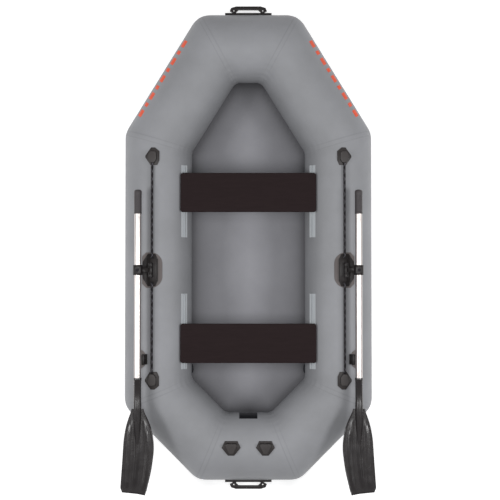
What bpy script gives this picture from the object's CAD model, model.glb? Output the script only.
# %% [markdown]
# # An inflatable rowing dinghy
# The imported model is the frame: it says where every part sits and what it moves with.
# This file gives the parts their looks. We load the frame first, and keep its box to compare with
# at the end.

# %% Load the frame
from math import cos, exp, pi, radians, sin, sqrt, tan

import bmesh
import bpy
from mathutils import Matrix, Vector, noise


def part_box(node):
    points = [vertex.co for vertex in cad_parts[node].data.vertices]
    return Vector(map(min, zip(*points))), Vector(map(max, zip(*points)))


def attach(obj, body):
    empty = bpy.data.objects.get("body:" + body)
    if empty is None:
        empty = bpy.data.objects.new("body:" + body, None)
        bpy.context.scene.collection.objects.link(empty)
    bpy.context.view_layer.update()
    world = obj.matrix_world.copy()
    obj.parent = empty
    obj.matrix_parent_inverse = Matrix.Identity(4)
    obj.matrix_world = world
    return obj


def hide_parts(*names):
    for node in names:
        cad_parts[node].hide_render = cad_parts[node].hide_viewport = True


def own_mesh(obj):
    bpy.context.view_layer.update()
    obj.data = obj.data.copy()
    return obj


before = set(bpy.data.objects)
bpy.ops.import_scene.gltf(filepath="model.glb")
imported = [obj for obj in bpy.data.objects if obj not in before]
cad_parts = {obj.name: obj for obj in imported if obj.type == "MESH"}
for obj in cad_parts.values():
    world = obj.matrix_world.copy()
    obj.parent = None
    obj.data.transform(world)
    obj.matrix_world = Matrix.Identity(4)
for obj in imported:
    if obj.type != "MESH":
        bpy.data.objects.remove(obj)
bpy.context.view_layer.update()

SIDES = {"starboard": 1, "port": -1}
MM = 0.001

# %% [markdown]
# ## Camera, light and floor
# The boat is seen from straight above, with the stern a little nearer. A long lens keeps the sides
# almost parallel. A soft lamp overhead and a softbox on each side give each round tube a pale crest,
# and the softboxes put narrow lights on the black fittings, whose flat tops stay dark.
# The floor is plain and pale, and marked as stage, because it isn't part of the boat.

# %% Camera
tube_low, tube_high = (Vector(c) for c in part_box("starboard_side_tube"))
TUBE_RADIUS = (tube_high.x - tube_low.x) / 2
SIDE_X = (tube_high.x + tube_low.x) / 2
AXIS_Z = (tube_high.z + tube_low.z) / 2

LENS_MM = 77.2
CAMERA_DISTANCE = 5.82
CAMERA_TILT = radians(1.4)
aim = Vector((0.009, -0.012, AXIS_Z))
camera = bpy.data.objects.new("camera", bpy.data.cameras.new("camera"))
camera.data.lens = LENS_MM
camera.location = aim + CAMERA_DISTANCE * Vector((0, -sin(CAMERA_TILT), cos(CAMERA_TILT)))
camera.rotation_euler = (CAMERA_TILT, 0, 0)
bpy.context.collection.objects.link(camera)
bpy.context.scene.camera = camera

# %% Lamps, sky and floor
def lamp(name, place, size, watts, target=(0, 0, 0.2)):
    """A square soft lamp that faces a point."""
    data = bpy.data.lights.new(name, "AREA")
    data.size = size
    data.energy = watts
    obj = bpy.data.objects.new(name, data)
    obj.location = place
    obj.rotation_euler = (Vector(target) - Vector(place)).to_track_quat("-Z", "Y").to_euler()
    bpy.context.collection.objects.link(obj)
    return obj


lamp("overhead_lamp", (0.0, -0.1, 5.6), 2.2, 86)
for name, x in (("port_softbox", -3.3), ("starboard_softbox", 3.3)):
    lamp(name, (x, -0.4, 3.6), 1.2, 76)
scene = bpy.context.scene
scene.view_settings.view_transform = "Standard"
sky = bpy.data.worlds.new("studio")
sky.use_nodes = True
sky.node_tree.nodes["Background"].inputs["Color"].default_value = (1.0, 1.0, 1.0, 1)
sky.node_tree.nodes["Background"].inputs["Strength"].default_value = 0.34
scene.world = sky

# %% [markdown]
# ## Materials
# Every finish starts from what the real one is. Colours are written as screen values and turned to
# linear light by one function, and one small function adds a node with its settings and its links.

# %% Material helpers
def linear(hex_colour):
    """A colour written as RRGGBB on screen, in linear light."""
    values = [int(hex_colour[k : k + 2], 16) / 255 for k in (0, 2, 4)]
    return tuple(v / 12.92 if v <= 0.04045 else ((v + 0.055) / 1.055) ** 2.4 for v in values) + (1,)


def add(tree, kind, links=None, values=None, **settings):
    """Adds one node: settings are its own, values fill its inputs, and links feed them from other nodes."""
    node = tree.nodes.new(kind)
    for key, value in settings.items():
        setattr(node, key, value)
    for key, value in (values or {}).items():
        node.inputs[key].default_value = value
    for key, output in (links or {}).items():
        tree.links.new(output, node.inputs[key])
    return node


def wave_scale(pitch):
    """The wave texture's Scale that puts its bands a pitch apart, in metres."""
    return 2 * pi / (20 * pitch)


def new_material(name, **shader):
    """A material with its Principled shader, ready for patterns."""
    material = bpy.data.materials.new(name)
    material.use_nodes = True
    tree = material.node_tree
    principled = tree.nodes["Principled BSDF"]
    for key, value in shader.items():
        principled.inputs[key.replace("_", " ")].default_value = value
    return material, tree, principled


# %% [markdown]
# ### PVC coated fabric
# The hull is polyester cloth between two skins of calendered PVC. The eye gets a matt, slightly waxy
# grey with broad soft clouds, and a faint, shallow unevenness in rows 25 mm apart. The threads are
# 0.5 mm apart, too fine to show. Dirt and damp darken the welds and the corner where tube and floor
# meet: each vertex carries a value that says how much.

# %% Coated fabric
GRIME_TONE = 0.5
ROW_PITCH = 25.13 * MM


def coated_fabric(name, dark, light, roughness):
    """Cloth under PVC: clouds of tone, grime from the vertices, and shallow rows of relief."""
    material, tree, principled = new_material(name, Roughness=roughness, Specular_IOR_Level=0.2)
    place = {"Vector": add(tree, "ShaderNodeTexCoord").outputs["Object"]}
    clouds = add(tree, "ShaderNodeTexNoise", place, {"Scale": 3.5, "Detail": 4.0, "Roughness": 0.6})
    share = add(tree, "ShaderNodeMapRange", {0: clouds.outputs[0]}, {"From Min": 0.32, "From Max": 0.70})
    tones = {6: linear(dark), 7: linear(light)}
    tone = add(tree, "ShaderNodeMix", {0: share.outputs[0]}, tones, data_type="RGBA")
    grime = add(tree, "ShaderNodeAttribute", attribute_name="grime")
    darker = {"To Min": 1.0, "To Max": GRIME_TONE}
    clean = add(tree, "ShaderNodeMapRange", {0: grime.outputs["Fac"]}, darker)
    worn_links = {0: tone.outputs[2], "Scale": clean.outputs[0]}
    worn = add(tree, "ShaderNodeVectorMath", worn_links, operation="SCALE")
    tree.links.new(worn.outputs[0], principled.inputs["Base Color"])
    waves = []
    for direction in ("X", "Y", "Z"):
        wave_values = {"Scale": wave_scale(ROW_PITCH), "Distortion": 0.6}
        wave = add(tree, "ShaderNodeTexWave", place, wave_values, bands_direction=direction)
        waves.append(wave.outputs["Fac"])
    weave = add(tree, "ShaderNodeMath", {0: waves[0], 1: waves[1]}, operation="MULTIPLY")
    weave = add(tree, "ShaderNodeMath", {0: weave.outputs[0], 1: waves[2]}, operation="ADD")
    fine = add(tree, "ShaderNodeTexNoise", place, {"Scale": 60.0, "Detail": 3.0})
    height = add(tree, "ShaderNodeMath", {0: weave.outputs[0], 1: fine.outputs[0]}, operation="ADD")
    relief = {"Distance": 0.12 * MM, "Strength": 0.6}
    bump = add(tree, "ShaderNodeBump", {"Height": height.outputs[0]}, relief)
    tree.links.new(bump.outputs[0], principled.inputs["Normal"])
    return material


hull_pvc = coated_fabric("hull_calendered_pvc", "87888B", "919296", 0.52)
floor_pvc = coated_fabric("floor_calendered_pvc", "8B8B90", "939398", 0.60)
patch_rubber = coated_fabric("patch_coated_rubber", "5F5958", "6C6665", 0.60)

# %% [markdown]
# ### Moulded nylon and ABS
# Black fittings are glass filled nylon from a spark eroded mould: a satin black with a brown cast,
# a grain down to about 1 mm, and patches of more and less gloss. Fine dust settles on
# faces that look up, so the tops are a shade paler than the walls.

# %% Moulded plastics
DUST_TONE = "8C8684"


def moulded(name, dark, light, roughness, sheen=0.12, grain=1.2 * MM, depth=0.15 * MM, dust=0.0):
    """A moulded plastic: blotches of tone and gloss over the grain of the mould, and dust on its tops."""
    material, tree, principled = new_material(name, Roughness=roughness, Specular_IOR_Level=sheen)
    place = {"Vector": add(tree, "ShaderNodeTexCoord").outputs["Object"]}
    speck = add(tree, "ShaderNodeTexNoise", place, {"Scale": 1 / grain / 6, "Detail": 3.0})
    blotch = add(tree, "ShaderNodeTexNoise", place, {"Scale": 22.0, "Detail": 3.0})
    tones = {6: linear(dark), 7: linear(light)}
    tone = add(tree, "ShaderNodeMix", {0: blotch.outputs[0]}, tones, data_type="RGBA")
    facing = add(tree, "ShaderNodeSeparateXYZ", {0: add(tree, "ShaderNodeTexCoord").outputs["Normal"]})
    tops = {"From Min": 0.80, "From Max": 0.99, "To Max": dust}
    settled = add(tree, "ShaderNodeMapRange", {0: facing.outputs["Z"]}, tops)
    dusty_links = {0: settled.outputs[0], 6: tone.outputs[2]}
    dusty = add(tree, "ShaderNodeMix", dusty_links, {7: linear(DUST_TONE)}, data_type="RGBA")
    tree.links.new(dusty.outputs[2], principled.inputs["Base Color"])
    gloss = {"To Min": roughness - 0.08, "To Max": roughness + 0.10}
    rough = add(tree, "ShaderNodeMapRange", {0: blotch.outputs[0]}, gloss)
    tree.links.new(rough.outputs[0], principled.inputs["Roughness"])
    relief = {"Distance": depth, "Strength": 0.7}
    bump = add(tree, "ShaderNodeBump", {"Height": speck.outputs[0]}, relief)
    tree.links.new(bump.outputs[0], principled.inputs["Normal"])
    return material


black_nylon = moulded("black_moulded_nylon", "120E0F", "1B1718", 0.32, sheen=0.22, dust=0.05)
eye_nylon = moulded("eye_moulded_nylon", "171314", "221E1E", 0.36, sheen=0.25, dust=0.12)
blade_plastic = moulded(
    "blade_moulded_polypropylene", "171314", "221D1E", 0.24, sheen=0.7, grain=2 * MM, depth=0.06 * MM
)
grip_rubber = moulded("grip_soft_pvc", "383436", "464244", 0.45, sheen=0.35)
valve_nylon = moulded("valve_moulded_nylon", "28282C", "343438", 0.40)
rail_pvc = moulded(
    "rail_extruded_pvc", "A6AAAE", "B3B7BA", 0.40, sheen=0.2, grain=3 * MM, depth=0.05 * MM
)
plate_film = moulded(
    "plate_printed_film", "121215", "1A1A1E", 0.30, sheen=0.2, grain=3 * MM, depth=0.03 * MM
)

# %% [markdown]
# ### Seat board
# The seats are marine plywood with a dark phenolic film. It looks almost black brown, with a weak
# sheen, long streaks of tone from side to side, and a shallow waffle from the press, 31 mm a square.

# %% Seat film
WAFFLE_PITCH = 31.42 * MM


def seat_film():
    """Phenolic film: long streaks of tone, and the relief of the press."""
    material, tree, principled = new_material("seat_phenolic_film", Roughness=0.5, Specular_IOR_Level=0.06)
    place = {"Vector": add(tree, "ShaderNodeTexCoord").outputs["Object"]}
    long_way = add(tree, "ShaderNodeMapping", place, {"Scale": (3.0, 26.0, 26.0)})
    streaks = {"Scale": 4.0, "Detail": 8.0, "Roughness": 0.65}
    grain = add(tree, "ShaderNodeTexNoise", {"Vector": long_way.outputs[0]}, streaks)
    tones = {6: linear("1E1516"), 7: linear("281E1F")}
    tone = add(tree, "ShaderNodeMix", {0: grain.outputs[0]}, tones, data_type="RGBA")
    tree.links.new(tone.outputs[2], principled.inputs["Base Color"])
    waffle = {"Scale": wave_scale(WAFFLE_PITCH)}
    across = add(tree, "ShaderNodeTexWave", place, waffle).outputs["Fac"]
    along = add(tree, "ShaderNodeTexWave", place, waffle, bands_direction="Y").outputs["Fac"]
    squares = add(tree, "ShaderNodeMath", {0: across, 1: along}, operation="MAXIMUM")
    both = add(tree, "ShaderNodeMath", {0: squares.outputs[0], 1: grain.outputs[0]}, operation="ADD")
    relief = {"Distance": 0.15 * MM, "Strength": 0.6}
    bump = add(tree, "ShaderNodeBump", {"Height": both.outputs[0]}, relief)
    tree.links.new(bump.outputs[0], principled.inputs["Normal"])
    return material


seat_board = seat_film()

# %% [markdown]
# ### Metals
# The oar shafts are drawn aluminium tube with a clear anodised skin: pale, with fine lines along the
# tube. Pins, bolts and screws are turned stainless steel. A metal keeps the default IOR.

# %% Metals
def drawn_metal(name, dark, light, roughness, stretch):
    """A drawn or turned metal: fine lines of tone and relief along its length."""
    material, tree, principled = new_material(name, Metallic=1.0, Roughness=roughness)
    place = {"Vector": add(tree, "ShaderNodeTexCoord").outputs["Object"]}
    lines = add(tree, "ShaderNodeMapping", place, {"Scale": stretch})
    fine = {"Scale": 12.0, "Detail": 6.0}
    streaks = add(tree, "ShaderNodeTexNoise", {"Vector": lines.outputs[0]}, fine)
    tones = {6: linear(dark), 7: linear(light)}
    tone = add(tree, "ShaderNodeMix", {0: streaks.outputs[0]}, tones, data_type="RGBA")
    tree.links.new(tone.outputs[2], principled.inputs["Base Color"])
    relief = {"Distance": 0.05 * MM, "Strength": 0.5}
    bump = add(tree, "ShaderNodeBump", {"Height": streaks.outputs[0]}, relief)
    tree.links.new(bump.outputs[0], principled.inputs["Normal"])
    return material


shaft_aluminium = drawn_metal("shaft_anodised_aluminium", "B9B2AF", "D8D1CE", 0.34, (40, 1.2, 40))
turned_steel = drawn_metal("turned_stainless_steel", "8E8E92", "B4B4B8", 0.30, (60, 60, 60))
blackened_steel = drawn_metal("blackened_zinc_steel", "1A181B", "272529", 0.36, (60, 60, 60))

# %% [markdown]
# ### Rope and print
# The lifeline is braided polypropylene: matt near black strands with fibres along them. The marks
# on the bow are screen ink, an even orange with a dry edge.

# %% Rope and ink
def rope_fibre(name, dark, light):
    """A strand of fibres, a little fuzzy."""
    material, tree, principled = new_material(name, Roughness=0.7, Sheen_Weight=0.1, Specular_IOR_Level=0.2)
    place = {"Vector": add(tree, "ShaderNodeTexCoord").outputs["Object"]}
    fibres = add(tree, "ShaderNodeTexNoise", place, {"Scale": 420.0, "Detail": 3.0})
    tones = {6: linear(dark), 7: linear(light)}
    tone = add(tree, "ShaderNodeMix", {0: fibres.outputs[0]}, tones, data_type="RGBA")
    tree.links.new(tone.outputs[2], principled.inputs["Base Color"])
    relief = {"Distance": 0.3 * MM, "Strength": 0.7}
    bump = add(tree, "ShaderNodeBump", {"Height": fibres.outputs[0]}, relief)
    tree.links.new(bump.outputs[0], principled.inputs["Normal"])
    return material


rope_black = rope_fibre("rope_black_polypropylene", "100F10", "1F1D20")
rope_grey = rope_fibre("rope_grey_fleck_polypropylene", "4A474C", "66636A")

orange_ink, ink_tree, ink_shader = new_material("orange_screen_ink", Roughness=0.5, Specular_IOR_Level=0.2)
ink_place = add(ink_tree, "ShaderNodeTexCoord").outputs["Object"]
speck = add(ink_tree, "ShaderNodeTexNoise", {"Vector": ink_place}, {"Scale": 180.0, "Detail": 3.0})
ink_tones = {6: linear("D8431F"), 7: linear("EC5B33")}
ink_tone = add(ink_tree, "ShaderNodeMix", {0: speck.outputs[0]}, ink_tones, data_type="RGBA")
ink_tree.links.new(ink_tone.outputs[2], ink_shader.inputs["Base Color"])

pale_floor, _, floor_shader = new_material("pale_studio_floor", Roughness=0.9)
floor_shader.inputs["Base Color"].default_value = linear("F4F4F4")
floor_shader.inputs["Emission Color"].default_value = linear("FFFFFF")
floor_shader.inputs["Emission Strength"].default_value = 0.45

# %% Floor
FLOOR_HALF = 14
FLOOR_BELOW = 1 * MM
bm = bmesh.new()
bmesh.ops.create_grid(bm, x_segments=1, y_segments=1, size=FLOOR_HALF)
floor_mesh = bpy.data.meshes.new("studio_floor")
bm.to_mesh(floor_mesh)
bm.free()
floor_mesh.materials.append(pale_floor)
studio_floor = bpy.data.objects.new("studio_floor", floor_mesh)
studio_floor.location.z = -FLOOR_BELOW
bpy.context.collection.objects.link(studio_floor)

# %% [markdown]
# ## Making a piece
# A finished bmesh becomes an object at the origin. Flat faces stay crisp and round ones smooth,
# because every edge sharper than a given angle is marked sharp.

# %% From bmesh to piece
def piece(name, bm, material, body="hull", replaces=(), smooth_angle=40):
    """Turns a bmesh into an object that rides on a body."""
    mesh = bpy.data.meshes.new(name)
    bm.to_mesh(mesh)
    bm.free()
    mesh.materials.append(material)
    mesh.polygons.foreach_set("use_smooth", [True] * len(mesh.polygons))
    mesh.set_sharp_from_angle(angle=radians(smooth_angle))
    obj = bpy.data.objects.new(name, mesh)
    bpy.context.collection.objects.link(obj)
    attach(obj, body)
    if replaces:
        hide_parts(*replaces)
    return obj


def dress(material, *nodes):
    """Gives CAD nodes a finish and leaves their shape alone."""
    for node in nodes:
        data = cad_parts[node].data
        data.materials.clear()
        data.materials.append(material)


# %% [markdown]
# ## Hull skin
# The real hull is eight straight gores of coated fabric, welded into one closed tube and blown up.
# A ring of edges is extruded from weld to weld. Each new vertex slides along its gore to the plane
# that halves the corner, so that both gores meet in one seam. Near a weld the pressure rounds the
# outer side, and the inner side, where the cloth is short, gathers into small puckers.

# %% Corners of the hull
BOW_FLAT = 0.338
STERN_FLAT = 0.398
BOW_TAPER = 0.499
STERN_TAPER = 0.290
bow_low, bow_high = (Vector(c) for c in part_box("bow_tube"))
bow_y = (bow_low.y + bow_high.y) / 2
bow_z = (bow_low.z + bow_high.z) / 2
stern_y = -bow_y
shoulder_y = bow_y - BOW_TAPER
quarter_y = stern_y + STERN_TAPER
half_loop = [
    Vector((BOW_FLAT / 2, bow_y, bow_z)),
    Vector((SIDE_X, shoulder_y, AXIS_Z)),
    Vector((SIDE_X, quarter_y, AXIS_Z)),
    Vector((STERN_FLAT / 2, stern_y, AXIS_Z)),
]
mirrored = [Vector((-c.x, c.y, c.z)) for c in reversed(half_loop)]
corners = [mirrored[-1]] + half_loop + mirrored[:-1]
GORES = len(corners)
print("hull corners", [tuple(round(v, 3) for v in c) for c in corners])


def gore(k):
    """Start, end and direction of one straight length of tube."""
    start = corners[k % GORES]
    end = corners[(k + 1) % GORES]
    return start, end, (end - start).normalized()


def gore_axes(k):
    """Outward and upward directions square to a gore."""
    along = gore(k)[2]
    up = (Vector((0, 0, 1)) - along * along.z).normalized()
    return up.cross(along), up


def on_tube(k, along, angle, radius):
    """A point beside gore k: angle 0 is outboard and a quarter turn is the crest."""
    start, _, direction = gore(k)
    out, up = gore_axes(k)
    return start + direction * along + radius * (cos(angle) * out + sin(angle) * up)


# %% Rings of the hull
RING = 128
WELD_HALF = 0.012
WELD_STEP = 0.0004
OUTER_ROUND = 0.120
INNER_ROUND = 0.055
PUCKER_DEPTH = 0.0010
PUCKER_PITCH = 0.034
PUCKER_REACH = 0.038
PUCKER_ROUND = 0.15
PUCKER_SHIFT = 2.1
PUCKER_WANDER = 3
near_weld = [0.0, 0.004, 0.008, 0.0115, 0.0127, 0.018, 0.026, 0.036, 0.048, 0.062]


def slide(point, corner, normal, along):
    """Moves a point along the gore until it lies on a corner's plane."""
    return point + along * ((corner - point).dot(normal) / along.dot(normal))


def weld_lines():
    """For each corner, the weld's points, one for each of the ring's lines."""
    out, up = gore_axes(0)
    points = [corners[0] + TUBE_RADIUS * (cos(a) * out + sin(a) * up) for a in ring_angles]
    rows = []
    for k in range(GORES):
        before, along = gore(k - 1)[2], gore(k)[2]
        points = [slide(p, corners[k], before + along, before if k else along) for p in points]
        rows.append(points)
    return rows


ring_angles = [2 * pi * j / RING for j in range(RING)]
welds = weld_lines()


def hull_point(k, line, from_start, distance):
    """A point of the skin on one line of gore k, a distance from its nearer weld."""
    along = gore(k)[2]
    corner_index = k if from_start else (k + 1) % GORES
    heading = along if from_start else -along
    other = -gore(k - 1)[2] if from_start else gore(k + 1)[2]
    weld = welds[corner_index][line]
    outward = cos(ring_angles[line])
    turn = (-other if from_start else other).angle(heading if from_start else -heading)
    round_radius = INNER_ROUND + (OUTER_ROUND - INNER_ROUND) * (0.5 + 0.5 * outward)
    reach = round_radius * tan(turn / 2)
    point = weld + heading * distance
    if distance < reach:
        u = (1 - distance / reach) / 2
        point = weld + reach * ((1 - u) ** 2 * heading + u**2 * other)
    normal = (weld - corners[corner_index]).normalized()
    if distance > 0:
        spoke = point - gore(k)[0]
        normal = (spoke - along * spoke.dot(along)).normalized()
    lift = WELD_STEP if distance <= WELD_HALF else 0.0
    gather = max(0.0, PUCKER_ROUND - outward) * turn * exp(-((distance / PUCKER_REACH) ** 2))
    phase = 2 * pi * ring_angles[line] * TUBE_RADIUS / PUCKER_PITCH + PUCKER_SHIFT * corner_index
    wander = noise.noise(Vector((line * 0.21, corner_index, 0)))
    lift -= PUCKER_DEPTH * gather * (1 + sin(phase + PUCKER_WANDER * wander))
    return point + normal * lift


# %% Hull skin piece
MIDDLE_SPACING = 0.045
SEAM_GRIME = 0.18
INNER_GRIME = 0.28


def middle_point(k, line, share):
    """A point between the two welds of gore k, past the stretches near them."""
    first = hull_point(k, line, True, near_weld[-1])
    last = hull_point(k, line, False, near_weld[-1])
    return first.lerp(last, share)


def stations(k):
    """What places each new ring of gore k and how strong its seam shows, from weld to weld."""
    start, end, _ = gore(k)
    shows = [1.0 if abs(d - WELD_HALF) < 0.001 else 0.0 for d in near_weld]
    steps = [(lambda line, d=d: hull_point(k, line, True, d), s) for d, s in zip(near_weld[1:], shows[1:])]
    count = max(2, int(((end - start).length - 2 * near_weld[-1]) / MIDDLE_SPACING))
    steps += [(lambda line, s=s: middle_point(k, line, s / count), 0.0) for s in range(1, count)]
    ending = list(zip(near_weld, shows))[::-1]
    return steps + [(lambda line, d=d: hull_point(k, line, False, d), s) for d, s in ending]


bm = bmesh.new()
line_of = bm.verts.layers.int.new("line")
grime_of = bm.verts.layers.float.new("grime")
first_ring = bmesh.ops.create_circle(bm, segments=RING, radius=TUBE_RADIUS)["verts"]
for line, vert in enumerate(first_ring):
    vert[line_of] = line
    vert.co = hull_point(0, line, True, 0.0)
front = list(bm.edges)
for k in range(GORES):
    for place, seam_shows in stations(k):
        grown = bmesh.ops.extrude_edge_only(bm, edges=front)["geom"]
        front = [g for g in grown if isinstance(g, bmesh.types.BMEdge)]
        for vert in (g for g in grown if isinstance(g, bmesh.types.BMVert)):
            vert.co = place(vert[line_of])
            inward = max(0.0, -cos(ring_angles[vert[line_of]]))
            vert[grime_of] = max(SEAM_GRIME * seam_shows, INNER_GRIME * inward**3)
bmesh.ops.remove_doubles(bm, verts=bm.verts, dist=1e-5)
bmesh.ops.recalc_face_normals(bm, faces=bm.faces)
open_edges = sum(1 for e in bm.edges if len(e.link_faces) != 2)
print("hull skin: faces", len(bm.faces), "open edges", open_edges)
tube_nodes = [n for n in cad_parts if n.endswith("_tube")]
hull_skin = piece("hull_skin", bm, hull_pvc, replaces=tube_nodes, smooth_angle=60)
dress(hull_pvc, "chamber_bulkheads")

# %% [markdown]
# ## Bottom skin
# One sheet of the same cloth is welded below the tubes and is also the floor. A grid is cut to the
# hull's eight sided outline, bent up under the bow, and its edge follows the round of the tubes.

# %% Bottom skin piece
SKIN_LAP = 0.040
SKIN_THICKNESS = 0.001
GRIME_REACH = 0.055
SKIN_CELLS = (54, 120)
SKIN_BLANK = (1.2, 2.4, 1)
bow_slope = (bow_z - AXIS_Z) / BOW_TAPER
slope_stretch = sqrt(1 + bow_slope**2)


def skin_height(p):
    """Underside of the skin at a point in plan."""
    level = AXIS_Z + bow_slope * (p.y - shoulder_y) - AXIS_Z * slope_stretch
    beyond = 0.0
    for k in range(GORES):
        out = gore_axes(k)[0]
        beyond = max(beyond, (p - gore(k)[0]).xy.dot(out.xy.normalized()))
    climb = AXIS_Z - sqrt(AXIS_Z**2 - beyond**2)
    return max(0.0, level) + climb


bm = bmesh.new()
bmesh.ops.create_grid(bm, x_segments=SKIN_CELLS[0], y_segments=SKIN_CELLS[1], size=0.5)
bmesh.ops.scale(bm, vec=SKIN_BLANK, verts=bm.verts)
for k in range(GORES):
    out = gore_axes(k)[0].xy.normalized().to_3d()
    edge = gore(k)[0].xy.to_3d() + out * SKIN_LAP
    everything = bm.verts[:] + bm.edges[:] + bm.faces[:]
    bmesh.ops.bisect_plane(bm, geom=everything, plane_co=edge, plane_no=out, clear_outer=True)
flat_area = sum(f.calc_area() for f in bm.faces)
grime_of = bm.verts.layers.float.new("grime")
for vert in bm.verts:
    inside = -max((vert.co - gore(k)[0]).xy.dot(gore_axes(k)[0].xy.normalized()) for k in range(GORES))
    vert[grime_of] = exp(-(max(0.0, inside - TUBE_RADIUS) / GRIME_REACH))
    vert.co.z = skin_height(vert.co)
bmesh.ops.recalc_face_normals(bm, faces=bm.faces)
bmesh.ops.solidify(bm, geom=bm.faces[:], thickness=-SKIN_THICKNESS)
if min(v.co.z for v in bm.verts) < -SKIN_THICKNESS / 2:
    bmesh.ops.translate(bm, vec=(0, 0, SKIN_THICKNESS), verts=bm.verts)
bmesh.ops.recalc_face_normals(bm, faces=bm.faces)
bottom = piece("bottom_skin_sheet", bm, floor_pvc, replaces=["bottom_skin"])

# %% [markdown]
# ## Small moulded and machined parts
# The frame's fittings have the right shapes but knife edges. A copy of each is merged, its flat
# faces are joined, and every sharp edge gets a small round, as a mould or a file leaves it.

# %% Rounded copies
ROUNDED_ABOVE = radians(32)


def merged_copy(node):
    """A welded copy of a CAD node's mesh."""
    bm = bmesh.new()
    bm.from_mesh(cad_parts[node].data)
    bmesh.ops.remove_doubles(bm, verts=bm.verts, dist=1e-6)
    bmesh.ops.dissolve_limit(bm, angle_limit=radians(0.5), verts=bm.verts, edges=bm.edges)
    return bm


def rounded(name, node, material, body, width, segments=2):
    """The node's shape with rounded edges, in its place."""
    bm = merged_copy(node)
    joined = [e for e in bm.edges if len(e.link_faces) == 2]
    sharp = [e for e in joined if e.calc_face_angle(0) > ROUNDED_ABOVE]
    bmesh.ops.bevel(
        bm,
        geom=sharp,
        offset=width,
        offset_type="OFFSET",
        segments=segments,
        profile=0.5,
        affect="EDGES",
        clamp_overlap=True,
        material=-1,
    )
    return piece(name, bm, material, body, [node], smooth_angle=35)


# %% Fittings of the hull
for end in ("bow", "stern"):
    rounded(f"{end}_carry_handle", f"{end}_handle", black_nylon, "hull", 3.5 * MM, 3)
rounded("handle_base_plates", "handle_bases", black_nylon, "hull", 1.5 * MM)
rounded("stern_bracket_eyes", "stern_eyes", eye_nylon, "hull", 1.8 * MM)
rounded("rowlock_wear_patches", "rowlock_patches", patch_rubber, "hull", 0.8 * MM)
rounded("clip_wear_patches", "oar_clip_patches", patch_rubber, "hull", 0.8 * MM)
for side in SIDES:
    rounded(f"{side}_rope_eyes", f"{side}_lifeline_eyes", eye_nylon, "hull", 1.8 * MM)
    rounded(f"{side}_rowlock_saddle", f"{side}_rowlock_base", black_nylon, "hull", 1.2 * MM)
    rounded(f"{side}_oar_hook", f"{side}_oar_clip", black_nylon, "hull", 1.5 * MM)
    rounded(f"{side}_valve_flange", f"{side}_valve_body", valve_nylon, "hull", 0.8 * MM)
    arm_body = f"{side}_rowlock_tilting_arm"
    rounded(f"{side}_rowlock_link", f"{side}_rowlock_arm", black_nylon, arm_body, 1.5 * MM)
    oar_body = f"{side}_oar"
    rounded(f"{side}_shaft_collar", f"{side}_oar_clamp", black_nylon, oar_body, 1.5 * MM)
    lid_body = f"{side}_valve_lid"
    lid_name = f"{side}_valve_lid_moulding"
    rounded(lid_name, f"{side}_valve_cap", valve_nylon, lid_body, 0.8 * MM)
    dress(valve_nylon, f"{side}_valve_stem")
    dress(shaft_aluminium, f"{side}_oar_shaft")
    dress(turned_steel, f"{side}_oar_button")
    dress(blackened_steel, *[f"{side}_{n}" for n in ("rowlock_pin", "swing_bolt")])
dress(rail_pvc, "front_seat_rails", "aft_seat_rails")
dress(black_nylon, "front_seat_runners", "aft_seat_runners")
dress(turned_steel, "front_seat_screws", "aft_seat_screws")
dress(seat_board, "front_seat_board", "aft_seat_board")
dress(plate_film, "blank_plate")

# %% [markdown]
# ## Springs
# A coil spring gets shorter as its button or stem comes in. A copy of each coil is squashed along the
# joint's axis towards its fixed end, by just the plunger's travel, so the two always meet.


def coil(name, node, body):
    """A spring's shape, shortened by its joint's travel."""
    bm = merged_copy(node)
    spring = piece(name, bm, turned_steel, body, [node], smooth_angle=50)
    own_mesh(spring)
    return spring


for side in SIDES:
    coil(f"{side}_button_coil", f"{side}_button_spring", f"{side}_oar")
    coil(f"{side}_valve_coil", f"{side}_valve_spring", "hull")

# %% [markdown]
# ## Oar blades
# A blade is one moulding: a thin plate with a rolled rim along its long edges, two ribs, and a spine
# that grows into the socket. A grid is stretched to the outline, its upper side takes the ribs, and
# the same face extruded and turned over gives the lower side. The socket is a profile spun round
# the shaft.

# %% Blade shape
BLADE_HALF = 2.6 * MM
RIM_RISE = 1.6 * MM
RIB_RISE = 5.0 * MM
RIB_HALF = 7.5 * MM
RIB_ACROSS = 0.60
SPINE_SWEEP = 16 * MM
TIP_SLANT = 16 * MM
SPINE_RADIUS = 19.5 * MM
SPINE_TIP_RADIUS = 2 * MM
RIDGE_RISE = 7.5 * MM
RIDGE_SPREAD = 4 * MM
TIP_NARROWING = 0.10
EDGE_THINNING = 0.75
SOCKET_LENGTH = 160 * MM
outboard_edge = [(0.0, 0.026), (0.15, 0.054), (0.33, 0.070), (1.0, 0.0885)]
inboard_edge = [(0.0, 0.026), (0.15, 0.062), (0.27, 0.079), (0.46, 0.088), (0.72, 0.073), (1.0, 0.043)]


def straight_edge(points, share):
    """Half width at a share of the blade's length, on straight lines between the points."""
    share = min(1.0, max(0.0, share))
    for (a, low), (b, high) in zip(points, points[1:]):
        if share <= b:
            return low + (high - low) * (share - a) / (b - a)
    return points[-1][1]


def along_edge(points, share):
    """The same half width with its corners eased."""
    steps = [straight_edge(points, share + 0.025 * k) for k in range(-3, 4)]
    return sum(steps) / len(steps)


def bell(distance, half):
    """A soft bump, 1 in the middle and near 0 at twice its half width."""
    return exp(-((distance / half) ** 2))


def fade(value, low, high):
    """Rises smoothly from 0 at low to 1 at high."""
    t = min(1.0, max(0.0, (value - low) / (high - low)))
    return t * t * (3 - 2 * t)


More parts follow.
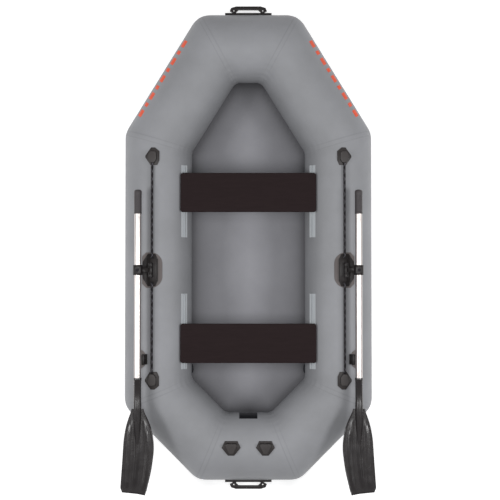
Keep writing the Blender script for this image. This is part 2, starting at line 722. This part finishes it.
def blade_height(out, across, share):
    """Half thickness of the blade at a point of its plan."""
    rim = RIM_RISE * fade(abs(across), 0.90, 0.95)
    ribs = 0.0
    length = fade(share, 0.10, 0.30) * (1 - fade(share, 0.86, 0.96))
    for k in (-1, 1):
        half = out / across if across else 1.0
        ribs = max(ribs, RIB_RISE * bell((across - k * RIB_ACROSS) * half, RIB_HALF) * length)
    beside = out - SPINE_SWEEP * fade(share, 0.45, 1.0)
    spine_radius = SPINE_RADIUS * (1 - fade(share, -0.10, 0.80)) + SPINE_TIP_RADIUS
    spine = sqrt(max(0.0, spine_radius**2 - beside**2))
    ridge = RIDGE_RISE * (1 - fade(share, 0.80, 0.95))
    ribs = max(ribs, ridge * bell(beside, RIB_HALF + RIDGE_SPREAD * (1 - share)))
    edge = sqrt(max(0.0, 1 - fade(abs(across), 0.97, 1.0) * EDGE_THINNING))
    edge *= sqrt(max(0.0, 1 - fade(share, 0.988, 1.0) * EDGE_THINNING))
    return max((BLADE_HALF + rim + ribs) * edge, spine)


# %% Blade piece
def spun(bm, profile, centre, direction, steps=48):
    """A closed profile of (radius, distance) spun about an axis."""
    side_way = direction.orthogonal().normalized()
    loop = [bm.verts.new(centre + direction * d + side_way * r) for r, d in profile]
    edges = [bm.edges.new((a, b)) for a, b in zip(loop, loop[1:] + loop[:1])]
    bmesh.ops.spin(
        bm, geom=loop + edges, cent=centre, axis=direction, angle=2 * pi, steps=steps, use_merge=True
    )


def blade(side, sign):
    """One oar's blade with its socket, in place of the plain one."""
    low, high = (Vector(c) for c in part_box(f"{side}_oar_blade"))
    shaft_low, shaft_high = (Vector(c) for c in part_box(f"{side}_oar_shaft"))
    shaft = (shaft_low + shaft_high) / 2
    root_y = high.y - SOCKET_LENGTH
    length = root_y - low.y
    bm = bmesh.new()
    bmesh.ops.create_grid(bm, x_segments=64, y_segments=120, size=1.0)
    for vert in bm.verts:
        across = vert.co.x
        share = 0.5 - vert.co.y / 2
        half = along_edge(outboard_edge if across > 0 else inboard_edge, share)
        corner_cut = 1 - TIP_NARROWING * fade(share, 0.94, 1.0)
        out = across * half * corner_cut
        slant = TIP_SLANT * fade(share, 0.5, 1.0) * (across * 0.5 + 0.5)
        y = root_y - share * length + slant
        height = blade_height(out, across, share)
        vert.co = Vector((shaft.x + sign * out, y, shaft.z + height))
    lower = bmesh.ops.extrude_face_region(bm, geom=bm.faces[:])["geom"]
    for vert in (g for g in lower if isinstance(g, bmesh.types.BMVert)):
        vert.co.z = 2 * shaft.z - vert.co.z
    bore = (shaft_high.x - shaft_low.x) / 2 + 0.1 * MM
    wall = (high.z - low.z) / 2
    profile = [
        (bore, 0.0),
        (wall - 0.4 * MM, 0.0),
        (wall, 1 * MM),
        (wall, 13 * MM),
        (wall - 1.4 * MM, 15 * MM),
        (wall - 1.4 * MM, SOCKET_LENGTH - 40 * MM),
        (wall - 0.2 * MM, SOCKET_LENGTH - 20 * MM),
        (wall - 0.4 * MM, SOCKET_LENGTH),
        (0.004, SOCKET_LENGTH + 4 * MM),
        (0.004, 150 * MM),
        (bore, 150 * MM),
    ]
    spun(bm, profile, Vector((shaft.x, high.y, shaft.z)), Vector((0, -1, 0)))
    bmesh.ops.remove_doubles(bm, verts=bm.verts, dist=1e-6)
    bmesh.ops.recalc_face_normals(bm, faces=bm.faces)
    print(side, "blade length", round(length, 3))
    name, node = f"{side}_ribbed_blade", f"{side}_oar_blade"
    return piece(name, bm, blade_plastic, f"{side}_oar", [node], smooth_angle=50)


for side, sign in SIDES.items():
    blade(side, sign)

# %% [markdown]
# ## Hand grips
# The grip is a soft sleeve pushed over the tube. Its profile has a small collar, shallow rings for
# the fingers and a round end, and is spun round the shaft. A plug closes the end.

# %% Grip piece
RING_PITCH = 7.5 * MM
RING_DEPTH = 0.9 * MM
FIRST_RING = 11 * MM
PLAIN_ENDS = 34 * MM
END_ROUND = 12 * MM
PLUG_DEPTH = 6 * MM


def grip(side):
    """One oar's grip and the plug in its end."""
    low, high = (Vector(c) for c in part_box(f"{side}_oar_grip"))
    centre = (low + high) / 2
    radius = (high.x - low.x) / 2
    length = high.y - low.y
    shaft_low, shaft_high = (Vector(c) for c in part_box(f"{side}_oar_shaft"))
    bore = (shaft_high.x - shaft_low.x) / 2 + 0.1 * MM
    profile = [(bore, 0.0), (radius - 0.3 * MM, 0.0), (radius, 1 * MM), (radius, 9 * MM)]
    count = int((length - PLAIN_ENDS) / RING_PITCH)
    for k in range(count):
        start = FIRST_RING + k * RING_PITCH
        profile += [(radius - RING_DEPTH, start), (radius - RING_DEPTH, start + 2 * MM)]
        profile += [(radius - 0.1 * MM, start + 3 * MM), (radius - 0.1 * MM, start + 6.4 * MM)]
    for angle in (0, 20, 40, 60, 80):
        a = radians(angle)
        profile.append((radius - END_ROUND * (1 - cos(a)), length - END_ROUND * (1 - sin(a))))
    profile += [(4 * MM, length), (4 * MM, length - 8 * MM), (bore, length - 10 * MM)]
    bm = bmesh.new()
    spun(bm, profile, Vector((centre.x, low.y, centre.z)), Vector((0, 1, 0)), 56)
    plug = bmesh.ops.create_cone(
        bm, cap_ends=True, segments=40, radius1=6 * MM, radius2=5 * MM, depth=PLUG_DEPTH
    )
    plug_middle = Vector((centre.x, high.y - 3.2 * MM, centre.z))
    place = Matrix.Translation(plug_middle) @ Matrix.Rotation(-pi / 2, 4, "X")
    bmesh.ops.transform(bm, matrix=place, verts=plug["verts"])
    bmesh.ops.recalc_face_normals(bm, faces=bm.faces)
    name, node = f"{side}_ringed_grip", f"{side}_oar_grip"
    return piece(name, bm, grip_rubber, f"{side}_oar", [node], smooth_angle=35)


for side in SIDES:
    grip(side)

# %% [markdown]
# ## Lifelines
# Each lifeline is a taut braid from the front eye, through the rowlock's saddle, to the aft eye.
# The line is a smooth curve, and eight strands wind round it, four each way, passing over and under.

# %% Braided rope
ROPE_DIAMETER = 14 * MM
STRANDS = 8
BRAID_PITCH = 40 * MM
STRAND_RADIUS = 2.5 * MM
POINTS_PER_PITCH = 16
FLECKED_STRANDS = (0, 3)
WEAVE_DEPTH = 0.55 * MM
LAY_INSET = 0.4 * MM


def rope_line(side):
    """The rope's centre, as a smooth curve read back as points."""
    low, high = (Vector(c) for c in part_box(f"{side}_lifeline"))
    x, z = (low.x + high.x) / 2, (low.z + high.z) / 2
    route = [Vector((x, y, z)) for y in (high.y, 0.30, 0.10, -0.06, -0.18, -0.35, -0.55, low.y)]
    data = bpy.data.curves.new("rope_line", "CURVE")
    data.dimensions = "3D"
    data.resolution_u = 40
    spline = data.splines.new("NURBS")
    spline.points.add(len(route) - 1)
    for point, place in zip(spline.points, route):
        point.co = (*place, 1)
    spline.order_u = 3
    spline.use_endpoint_u = True
    holder = bpy.data.objects.new("rope_line", data)
    mesh = bpy.data.meshes.new_from_object(holder)
    points = [v.co.copy() for v in mesh.vertices]
    bpy.data.objects.remove(holder)
    return points


def resampled(points, spacing):
    """The same line with evenly spaced points."""
    result = [points[0]]
    left = spacing
    for a, b in zip(points, points[1:]):
        length = (b - a).length
        done = 0.0
        while length - done >= left:
            done += left
            result.append(a.lerp(b, done / length))
            left = spacing
        left -= length - done
    return result + [points[-1]]


def rope(side):
    """One lifeline: strands that wind both ways round its line."""
    line = resampled(rope_line(side), BRAID_PITCH / POINTS_PER_PITCH)
    data = bpy.data.curves.new("strands", "CURVE")
    data.dimensions = "3D"
    data.bevel_depth = STRAND_RADIUS
    data.bevel_resolution = 1
    data.materials.append(rope_black)
    data.materials.append(rope_grey)
    lay_radius = ROPE_DIAMETER / 2 - STRAND_RADIUS
    for strand in range(STRANDS):
        way = 1 if strand % 2 else -1
        start = 2 * pi * (strand // 2) / (STRANDS / 2)
        spline = data.splines.new("POLY")
        spline.material_index = 1 if strand in FLECKED_STRANDS else 0
        spline.points.add(len(line) - 1)
        for k, (point, centre) in enumerate(zip(spline.points, line)):
            turn = 2 * pi * k / POINTS_PER_PITCH
            angle = start + way * turn
            weave = WEAVE_DEPTH * sin(4 * turn + (pi / 2) * (way + 1))
            reach = lay_radius - LAY_INSET + weave
            point.co = (centre.x + reach * cos(angle), centre.y, centre.z + reach * sin(angle), 1)
    holder = bpy.data.objects.new("strands", data)
    mesh = bpy.data.meshes.new_from_object(holder)
    bm = bmesh.new()
    bm.from_mesh(mesh)
    bpy.data.objects.remove(holder)
    obj = piece(f"{side}_braided_lifeline", bm, rope_black, "hull", [f"{side}_lifeline"], 60)
    obj.data.materials.append(rope_grey)
    return obj


for side in SIDES:
    rope(side)

# %% [markdown]
# ## Bow marks
# Two rows of plain orange dashes are printed on the bow diagonals, near their outer side. Each dash
# is a small grid laid on the tube, a hair above the cloth.

# %% Printed dashes
MARK_ANGLE = radians(33)
MARK_WIDTH = 0.042
MARK_LENGTHS = (0.040, 0.022)
MARK_PITCH = 0.054
MARK_COUNT = 9
MARK_START = 0.055
INK_HEIGHT = 0.00035


def bow_marks(side, k, backwards):
    """A row of dashes on gore k, counted from its bow end."""
    length = (gore(k)[1] - gore(k)[0]).length
    bm = bmesh.new()
    for n in range(MARK_COUNT):
        made = bmesh.ops.create_grid(bm, x_segments=6, y_segments=10, size=0.5)["verts"]
        for vert in made:
            middle = MARK_START + n * MARK_PITCH + MARK_LENGTHS[0] / 2
            along = middle + vert.co.x * MARK_LENGTHS[n % 2]
            angle = MARK_ANGLE + (vert.co.y * MARK_WIDTH) / TUBE_RADIUS
            from_start = length - along if backwards else along
            vert.co = on_tube(k, from_start, angle, TUBE_RADIUS + INK_HEIGHT)
    bmesh.ops.recalc_face_normals(bm, faces=bm.faces)
    return piece(f"{side}_bow_dashes", bm, orange_ink, "hull")


bow_marks("starboard", 1, False)
bow_marks("port", GORES - 1, True)
